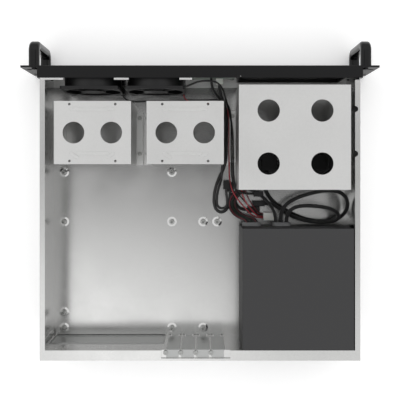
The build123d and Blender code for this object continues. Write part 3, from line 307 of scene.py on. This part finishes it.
# %% Routes of the leads
routes = {
    "front_port_lead": (4.4, [
        (-28.0, -163.0, 24.0), (-28.0, -156.0, 24.0), (-30.5, -146.5, 19.6), (-35.4, -136.4, 13.4),
        (-38.2, -122.0, 8.0), (-38.8, -103.0, 6.5), (-38.4, -78.0, 6.5), (-38.2, -56.0, 6.5),
        (-34.4, -42.0, 4.6), (-27.4, -29.0, 3.3), (-22.6, -15.0, 3.3), (-20.2, -1.0, 3.3),
        (-20.6, 10.0, 3.3), (-24.4, 18.6, 3.3), (-32.0, 21.6, 3.3), (-39.4, 17.0, 3.3),
        (-42.4, 8.0, 3.5), (-44.2, -1.0, 3.9), (-44.2, -9.0, 3.9),
    ]),
    "fan_lead_red": (1.8, [
        (23.4, -149.6, 13.5), (23.4, -145.6, 13.5), (17.0, -140.0, 11.0), (3.0, -138.2, 7.4),
        (-13.0, -139.4, 4.4), (-28.0, -140.2, 3.2), (-38.4, -134.0, 3.1), (-42.0, -120.0, 3.1),
        (-42.5, -98.0, 3.1), (-42.1, -73.0, 3.1), (-42.6, -48.0, 3.8), (-43.0, -26.0, 8.0),
        (-46.8, -9.0, 12.4), (-56.4, 4.4, 13.8), (-67.0, 16.2, 13.8), (-76.0, 25.8, 11.6),
        (-85.6, 28.9, 6.6), (-92.0, 28.9, 6.6),
    ]),
    "fan_lead_black": (1.8, [
        (111.3, -149.6, 13.5), (111.3, -145.4, 13.5), (104.0, -141.0, 10.4), (88.0, -140.6, 5.6),
        (66.0, -142.2, 3.0), (40.0, -141.4, 2.4), (14.0, -143.4, 2.4), (-10.0, -143.0, 2.6),
        (-28.0, -144.4, 2.8), (-40.4, -138.6, 3.4), (-45.2, -125.0, 4.9), (-45.6, -106.0, 5.0),
        (-45.2, -81.0, 5.0), (-45.6, -56.0, 5.0), (-45.8, -33.0, 6.8), (-49.6, -14.0, 11.2),
        (-59.6, -0.4, 13.4), (-70.8, 11.2, 13.4), (-79.0, 20.4, 12.0), (-86.0, 24.7, 6.6),
        (-92.0, 24.7, 6.6),
    ]),
    "main_power_loom": (5.6, [
        (-115.0, 33.7, 30.0), (-115.0, 26.0, 30.0), (-117.0, 15.0, 28.6), (-125.4, 5.4, 28.6),
        (-140.0, -2.2, 30.0), (-158.0, -8.0, 32.0), (-176.0, -11.6, 34.6), (-194.0, -11.4, 37.0),
        (-206.2, -3.6, 37.0), (-210.6, 10.4, 32.0), (-205.8, 24.2, 22.0), (-192.6, 32.6, 13.0),
        (-175.6, 34.2, 8.0), (-158.0, 32.0, 5.4), (-140.6, 26.0, 4.5), (-124.0, 17.0, 4.4),
        (-108.5, 7.4, 4.4), (-98.0, -5.2, 5.0), (-94.0, -20.0, 6.0), (-94.0, -33.0, 6.0),
    ]),
    "side_loom": (5.4, [
        (-123.0, 33.7, 30.0), (-123.0, 26.5, 30.0), (-126.4, 17.5, 32.0), (-135.0, 11.4, 36.0),
        (-149.0, 9.4, 40.5), (-167.0, 10.4, 43.5), (-184.0, 13.6, 43.5), (-195.0, 20.6, 38.6),
        (-197.4, 28.4, 29.6), (-189.6, 33.6, 22.6), (-175.0, 34.8, 19.6), (-158.0, 33.2, 18.0),
        (-141.6, 29.6, 14.6), (-128.6, 24.0, 12.8), (-117.4, 16.6, 12.2), (-108.6, 10.6, 10.8),
        (-101.4, 8.0, 6.0), (-94.0, 8.0, 6.0),
    ]),
    "drive_power_loom": (4.6, [
        (-107.5, 33.7, 30.0), (-107.5, 26.0, 30.0), (-104.0, 14.0, 25.6), (-95.6, 2.4, 17.6),
        (-84.4, -7.6, 9.4), (-73.0, -13.4, 4.6), (-61.5, -14.0, 3.5), (-53.4, -8.1, 3.4),
        (-50.6, 1.5, 3.4), (-53.4, 11.1, 3.8), (-61.5, 17.0, 4.6), (-69.0, 17.0, 4.6),
    ]),
}
print(len(routes), "leads,", sum(len(points) for _, points in routes.values()), "control points")

# %% [markdown]
# A real lead is a fixed length of something more or less stiff that ends in its plug. Those
# facts could be left to the eye, but here they are written down in a table. So one function
# makes each lead from its route, gives it its coat, and prints its length and thickness. It
# takes the length from the drawn line where no CAD solid says it.

# %% Make the leads
TUBE_ROUNDNESS = 4  # steps in the round of the bevel
TUBE_STEPS = 8      # steps along the tube for each control point
lead_facts = {
    "front_port_lead": (0.233, "medium", "cord_black", pvc_black, "front_port_plug"),
    "fan_lead_red": (0.259, "limp", "cord_red", pvc_red, "fan_lead_plug"),
    "fan_lead_black": (0.345, "limp", "cord_black", pvc_black, "fan_lead_plug"),
    "main_power_loom": (0.302, "stiff", "loom_sleeve", None, "main_power_plug"),
    "side_loom": (0.217, "stiff", "loom_sleeve", None, "side_loom_plug"),
    "drive_power_loom": (0.125, "stiff", "loom_sleeve", None, "drive_power_plug"),
}


def round_curve(name, points, diameter):
    """A tube along a NURBS line through the given control points, in metres."""
    curve = bpy.data.curves.new(name, "CURVE")
    curve.dimensions = "3D"
    curve.bevel_depth = diameter / 2
    curve.bevel_resolution = TUBE_ROUNDNESS
    curve.resolution_u = TUBE_STEPS
    curve.use_fill_caps = True
    line = curve.splines.new("NURBS")
    line.points.add(len(points) - 1)
    for control, point in zip(line.points, points):
        control.co = (*point, 1.0)
    line.order_u = 3
    line.use_endpoint_u = True
    obj = bpy.data.objects.new(name, curve)
    bpy.context.scene.collection.objects.link(obj)
    return obj


def lay_lead(name, points, size, coat, length=None):
    """A free lead on points in millimetres. A lead with no coat of its own is sleeved."""
    points = [Vector(point) * MM for point in points]
    lead = round_curve(name, points, size * MM)
    length = length or lead.data.splines[0].calc_length()
    if coat is None:
        coat = braided_sleeve(
            "braided polyester sleeve " + name, SLEEVE_COLOUR, length, size * MM
        )
    finish_with(lead, coat)
    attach(lead, "chassis")
    print(name, round(length * 1000), "mm long,", size, "mm thick")
    return lead


for name, (size, points) in routes.items():
    length, stiffness, slot_name, coat, plug = lead_facts[name]
    lead = lay_lead(
        name + "_curve", points, size, coat, length
    )
    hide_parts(name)

# %% [markdown]
# Under the bay's rear edge the supply's own wires end in a plug, and more leads lie beside the
# ones above. They are too thin or too hidden to matter in the CAD model, so they are made here
# only. Each plug is a moulded nylon block with rounded edges. It could have latches and
# contact holes, but these face away from every view, so a block with a bevel is enough.

# %% Plugs of the small leads
PLUG_ROUNDING = 0.5 * MM
plug_sizes = {
    # name: centre, then size
    "hank_plug": ((-85.0, -19.0, 10.2), (10.0, 11.0, 7.4)),
    "second_front_plug": ((-38.0, -19.5, 10.2), (8.0, 13.0, 5.4)),
    "drive_plug": ((-100.0, -51.6, 15.8), (22.0, 22.0, 8.0)),
    "next_drive_plug": ((-171.0, -51.6, 5.4), (26.0, 22.0, 8.0)),
    "corridor_plug": ((-84.0, -6.4, 20.0), (14.0, 8.0, 6.0)),
}


def nylon_block(name, centre, size):
    """A black connector housing of that size in millimetres, with rounded edges."""
    bpy.ops.mesh.primitive_cube_add(size=1.0, location=Vector(centre) * MM)
    block = bpy.context.object
    block.name = name
    block.scale = Vector(size) * MM
    bpy.ops.object.transform_apply(location=False, rotation=False, scale=True)
    rounding = block.modifiers.new("rounded edges", "BEVEL")
    rounding.width, rounding.segments = PLUG_ROUNDING, 2
    finish_with(block, black_nylon)
    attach(block, "chassis")
    return block


plugs = {
    name: nylon_block(name, centre, size) for name, (centre, size) in plug_sizes.items()
}
print(len(plugs), "more plugs")

# %% [markdown]
# A power supply's leads come out through a bush as a hank of thin wires, which fan out where
# no sleeve holds them. Nine routes could be typed in. Only the outermost and the innermost
# are. The others lie between the two by equal steps, and three layers keep them from touching.

# %% Hank of wires at the power supply
HANK_WIRE = 1.7
HANK_LAYER = 1.9
BUSH_POINTS = 2       # the layers are furthest apart at the first points, in the bush
LAYER_AFTER_BUSH = 0.85
hank_outer = [
    (-63.5, 33.7, 31.5), (-63.0, 30.5, 31.5), (-56.0, 28.5, 27.5), (-47.0, 23.0, 19.0),
    (-41.4, 13.0, 11.4), (-41.6, 2.0, 9.6), (-49.0, -8.5, 9.4), (-61.0, -15.5, 10.0),
    (-72.0, -20.5, 11.6), (-80.0, -22.0, 11.6),
]
hank_inner = [
    (-81.5, 33.7, 30.0), (-81.0, 29.5, 30.0), (-72.0, 26.0, 29.0), (-61.0, 23.0, 23.0),
    (-52.6, 14.5, 15.0), (-50.8, 6.0, 11.0), (-54.6, -1.5, 9.8), (-63.0, -9.0, 9.8),
    (-72.0, -14.5, 11.6), (-80.0, -16.0, 11.6),
]
hank_coats = [
    pvc_black, pvc_wine, pvc_black, pvc_black, pvc_green, pvc_black, pvc_black, pvc_wine,
    pvc_black,
]
hank_layers = [0, 1, -1, 1, 0, -1, 1, 0, -1]
for number, (coat, layer) in enumerate(zip(hank_coats, hank_layers)):
    across = number / (len(hank_coats) - 1)
    points = []
    for step, (outer, inner) in enumerate(zip(hank_outer, hank_inner)):
        point = Vector(outer).lerp(Vector(inner), across)
        point.z += layer * HANK_LAYER * (1.0 if step < BUSH_POINTS else LAYER_AFTER_BUSH)
        points.append(point)
    name = "hank_wire_" + str(number + 1)
    lay_lead(name, points, HANK_WIRE, coat)

# %% [markdown]
# A second lead from the front ports makes its turn inside the first one's. A thin lead runs
# down the corridor beside the large bay, two red wires go into the white plug, and a short
# lead joins the two plugs under the bay. One loom with branches could stand for them all.
# Real ones are separate, and separate curves can be moved on their own, so each has a route.

# %% More leads beside the first ones
more_leads = {
    "second_front_lead": (3.6, "medium", "cord_black", pvc_black, plugs["second_front_plug"], [
        (-16.0, -171.0, 30.0), (-16.0, -163.0, 30.0), (-20.0, -152.0, 27.0), (-29.0, -141.0, 20.0),
        (-35.5, -128.0, 14.0), (-37.2, -108.0, 11.6), (-36.6, -80.0, 11.4), (-35.4, -58.0, 10.6),
        (-32.0, -45.0, 6.8), (-31.6, -27.5, 3.2), (-27.0, -14.0, 3.2), (-24.6, -1.0, 3.2),
        (-24.6, 10.7, 3.2), (-29.1, 15.2, 3.6), (-35.5, 15.2, 5.0), (-40.0, 10.7, 7.2),
        (-39.6, -0.5, 10.0), (-38.0, -7.0, 10.4), (-38.0, -13.0, 10.4),
    ]),
    "corridor_lead": (2.6, "medium", "cord_black", pvc_black, plugs["corridor_plug"], [
        (21.5, -153.0, 72.0), (14.0, -156.0, 72.5), (2.0, -161.0, 73.0), (-12.0, -162.0, 73.0),
        (-24.0, -160.0, 71.0), (-31.0, -153.0, 62.0), (-35.0, -143.0, 47.0), (-40.0, -130.0, 28.0),
        (-44.8, -114.0, 14.0), (-47.6, -95.0, 9.6), (-48.0, -70.0, 9.0), (-48.2, -48.0, 9.5),
        (-48.8, -30.0, 14.0), (-51.0, -16.0, 18.4), (-58.0, -8.0, 20.0), (-68.0, -6.4, 20.0),
        (-77.0, -6.4, 20.0),
    ]),
    "next_drive_lead": (5.0, "medium", "cord_black", pvc_black, plugs["next_drive_plug"], [
        (-111.0, -51.6, 15.8), (-117.0, -51.6, 15.8), (-127.0, -50.8, 14.2), (-138.0, -50.6, 9.4),
        (-149.0, -51.4, 5.6), (-158.0, -51.6, 5.4),
    ]),
    "white_plug_red": (1.8, "limp", "cord_red", pvc_red, nodes["fan_lead_plug"], [
        (-59.0, -15.0, 16.4), (-60.4, -9.0, 16.4), (-63.0, 0.0, 16.2), (-68.2, 9.0, 16.2),
        (-75.0, 17.6, 16.0), (-82.0, 24.4, 12.2), (-87.6, 27.0, 8.0), (-92.0, 27.0, 8.0),
    ]),
    "white_plug_wine": (1.8, "limp", "cord_red", pvc_wine, nodes["fan_lead_plug"], [
        (-64.0, -15.0, 16.4), (-66.4, -8.0, 16.4), (-70.0, 0.5, 16.2), (-74.8, 8.6, 15.6),
        (-80.4, 16.2, 13.8), (-85.4, 21.4, 9.6), (-89.0, 22.8, 6.8), (-92.0, 22.8, 6.8),
    ]),
}
for name, (size, stiffness, slot_name, coat, plug, points) in more_leads.items():
    lay_lead(name, points, size, coat)

# %% [markdown]
# The spare length of a drive's power lead lies in a flat long coil under the large bay, and
# its dark turns show through the two rear windows. It could be one curve drawn by hand. A
# turn is the same ten corners each time, so they are given once, for a coil with straight
# sides and round ends, and each corner lies a little further in than the last. One end of
# the coil is lifted, because it lies on the plug.

# %% Coil under the bay
COIL_LEAD, COIL_PITCH, COIL_TURNS = 6.2, 6.6, 1.8
COIL_CENTRE = Vector((-138.0, -51.0, 0.0))
COIL_HALF = 35.0              # half the length of a straight side
COIL_END = 25.0               # radius of the outermost turn's ends
COIL_LOW, COIL_LIFT = 4.4, 12.0
LIFT_START_X, LIFT_LENGTH = -155.0, 30.0
turn = [  # share of the half length, then share of the radius along and across
    (1, 1, 0), (1, 0.75, -0.9), (0.5, 0, -1), (-0.5, 0, -1), (-1, -0.75, -0.9),
    (-1, -1, 0), (-1, -0.75, 0.9), (-0.5, 0, 1), (0.5, 0, 1), (1, 0.75, 0.9),
]
coil = [Vector((-85.0, -24.5, 10.6)), Vector((-85.0, -28.0, 13.0)), Vector((-81.0, -37.0, 16.4))]
for step in range(round(COIL_TURNS * len(turn)) + 1):
    side, corner, depth = turn[step % len(turn)]
    radius = COIL_END - COIL_PITCH * step / len(turn)
    spot = COIL_CENTRE + Vector((side * COIL_HALF + corner * radius, depth * radius, 0.0))
    lifted = min(max((spot.x - LIFT_START_X) / LIFT_LENGTH, 0.0), 1.0)
    spot.z = COIL_LOW + COIL_LIFT * lifted
    coil.append(spot)
coil += [Vector((-104.0, -37.6, 16.2)), Vector((-100.0, -40.6, 16.0))]
lay_lead(
    "drive_lead_coil", coil, COIL_LEAD, None,
)

# %% [markdown]
# The case stands in a studio. Its sheet is a blurred mirror, so what it shows is the studio
# itself: a ring of bright cloth around a dark middle, where the camera hangs and looks
# straight down, and one soft lamp in that middle, a little off its centre. The dark middle
# makes the flat sheet grey, not white, and the lamp puts a soft round of light on it. Lamps
# over a white room could do this. A world drawn by the height of the ray and by its angle to
# the lamp does it without noise or edges. Near the horizon it is as white as the background.
# The camera, and rays that pass through the lens plastic, see plain white.

# %% World
studio_heights = [  # sine of the height above the horizon, then the brightness there
    (-1.0, 1.0), (0.12, 1.0), (0.30, 0.75), (0.50, 1.10),
    (0.90, 1.15), (0.970, 1.02), (0.981, 0.20), (1.0, 0.07),
]
KEY = 0.84
KEY_DIRECTION = Vector((0.07, 0.17, 1.0)).normalized()
KEY_EDGE, KEY_CORE = 0.980, 0.998  # cosines of the angle to the lamp's middle


def grey(bright):
    return (bright, bright, bright, 1.0)


world = bpy.data.worlds.new("studio")
bpy.context.scene.world = world
world.use_nodes = True
sky = world.node_tree
sky.nodes.clear()
ray = add_node(sky, "TexCoord").outputs["Generated"]
up = add_node(sky, "SeparateXYZ", links={"Vector": ray}).outputs["Z"]
part_way = add_node(
    sky, "MapRange", values={"From Min": -1.0, "From Max": 1.0}, links={"Value": up}
)
studio = add_node(sky, "ValToRGB", links={"Fac": part_way.outputs["Result"]})
stops = studio.color_ramp.elements
stops[0].color = grey(studio_heights[0][1])
stops[1].color = grey(studio_heights[-1][1])
for level, bright in studio_heights[1:-1]:
    stops.new(0.5 + level / 2).color = grey(bright)

nearness = add_node(
    sky, "VectorMath", {"operation": "DOT_PRODUCT"}, {1: KEY_DIRECTION}, {0: ray}
)
key = add_node(
    sky, "MapRange", {"interpolation_type": "SMOOTHSTEP"},
    {"From Min": KEY_EDGE, "From Max": KEY_CORE, "To Max": KEY},
    {"Value": nearness.outputs["Value"]},
)
in_studio = add_node(
    sky, "Math", {"operation": "ADD"},
    links={0: studio.outputs["Color"], 1: key.outputs["Result"]},
)
lamps = add_node(
    sky, "Background", values={"Color": hex_colour("ffffff")},
    links={"Strength": in_studio.outputs[0]},
)
backdrop = add_node(
    sky, "Background", values={"Color": hex_colour("ffffff"), "Strength": 1.0}
)
rays = add_node(sky, "LightPath")
clear = add_node(
    sky, "Math", {"operation": "MAXIMUM"},
    links={0: rays.outputs["Is Camera Ray"], 1: rays.outputs["Is Transmission Ray"]},
)
all_rays = add_node(
    sky, "MixShader",
    links={0: clear.outputs[0], 1: lamps.outputs[0], 2: backdrop.outputs[0]},
)
add_node(sky, "OutputWorld", links={"Surface": all_rays.outputs[0]})
print("studio brightness by height", studio_heights, "key", KEY)

# %% [markdown]
# A studio floor is a sheet of matt white board, lit until it is white in the picture. More
# light would do that, but it would wash out the object too. Instead the floor shines a
# little of its own, only for the camera and for reflections and clear parts. It turns nearly
# white there, keeps the object's shadow, and lights nothing.

# %% Floor
FLOOR_SIZE = 8.0
FLOOR_DROP = 0.2 * MM  # below the case, so that no two faces share a place
FLOOR_LIFT = 0.22
bpy.ops.mesh.primitive_plane_add(size=FLOOR_SIZE, location=(0, 0, -FLOOR_DROP))
floor = bpy.context.object
floor.name = "studio floor"
floor_paint, floor_tree, floor_shader = new_material("pale studio floor", "f4f4f4", 0.0, 0.9)
seen = add_node(floor_tree, "LightPath")
mirror_seen = add_node(
    floor_tree, "Math", {"operation": "MAXIMUM"},
    links={0: seen.outputs["Is Glossy Ray"], 1: seen.outputs["Is Transmission Ray"]},
)
any_seen = add_node(
    floor_tree, "Math", {"operation": "MAXIMUM"},
    links={0: seen.outputs["Is Camera Ray"], 1: mirror_seen.outputs[0]},
)
lift = add_node(
    floor_tree, "Math", {"operation": "MULTIPLY"}, {1: FLOOR_LIFT}, {0: any_seen.outputs[0]}
)
floor_shader.inputs["Emission Color"].default_value = hex_colour("ffffff")
floor_tree.links.new(lift.outputs[0], floor_shader.inputs["Emission Strength"])
finish_with(floor, floor_paint)
print("floor", FLOOR_SIZE, "m wide, with a glow of", FLOOR_LIFT)

# %% [markdown]
# The photograph looks straight down into the case from about one metre. The lens and the
# height were worked out from the rim, the floor and the rack ears, whose real sizes are
# known. The case sits above the middle of the picture, so the lens is shifted a little
# instead of tilted, which keeps its sides upright.

# %% Camera
eye = bpy.data.cameras.new("camera")
eye.sensor_width = 36.0
eye.lens = 62.55
eye.shift_y = -0.0625
eye.clip_start, eye.clip_end = 0.05, 20.0
camera = bpy.data.objects.new("camera", eye)
camera.location = (0.0, -33.5 * MM, 1018.8 * MM)
camera.rotation_euler = (0.0, 0.0, radians(180))
bpy.context.scene.collection.objects.link(camera)
bpy.context.scene.camera = camera
bpy.context.scene.view_settings.view_transform = "Standard"
print("camera", round(camera.location.z, 4), "m above the floor, lens", eye.lens, "mm")
